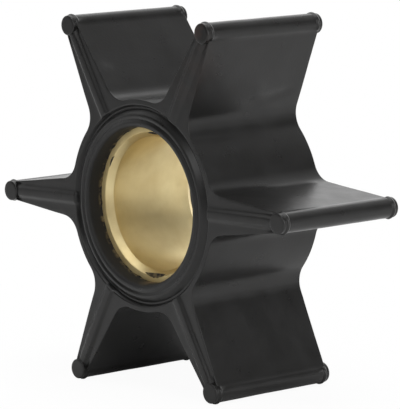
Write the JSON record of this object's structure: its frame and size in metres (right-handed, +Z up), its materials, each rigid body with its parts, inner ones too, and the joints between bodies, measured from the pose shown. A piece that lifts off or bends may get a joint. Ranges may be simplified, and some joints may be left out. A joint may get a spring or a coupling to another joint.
{
  "type": "rubber pump impeller",
  "caption": "Flexible-vane pump impeller: straight rubber vanes with round tip beads, moulded in one with their hub round a smooth brass sleeve.",
  "frame": {"origin": "middle of the bore, which is also the middle of the whole impeller", "axes": "the bore runs along Y with the face seen in the picture towards -Y; +Z is up, with the impeller standing on the tips of its two lower vanes and one vane pointing each way along X"},
  "size_m": [0.0656, 0.0234, 0.0572],
  "materials": {
    "rubber": "moulded black rubber with a dull sheen",
    "brass": "turned, bare and slightly dulled"
  },
  "bodies": {
    "root": {"rubber_body": "rubber", "brass_sleeve": "brass"}
  },
  "joints": []
}
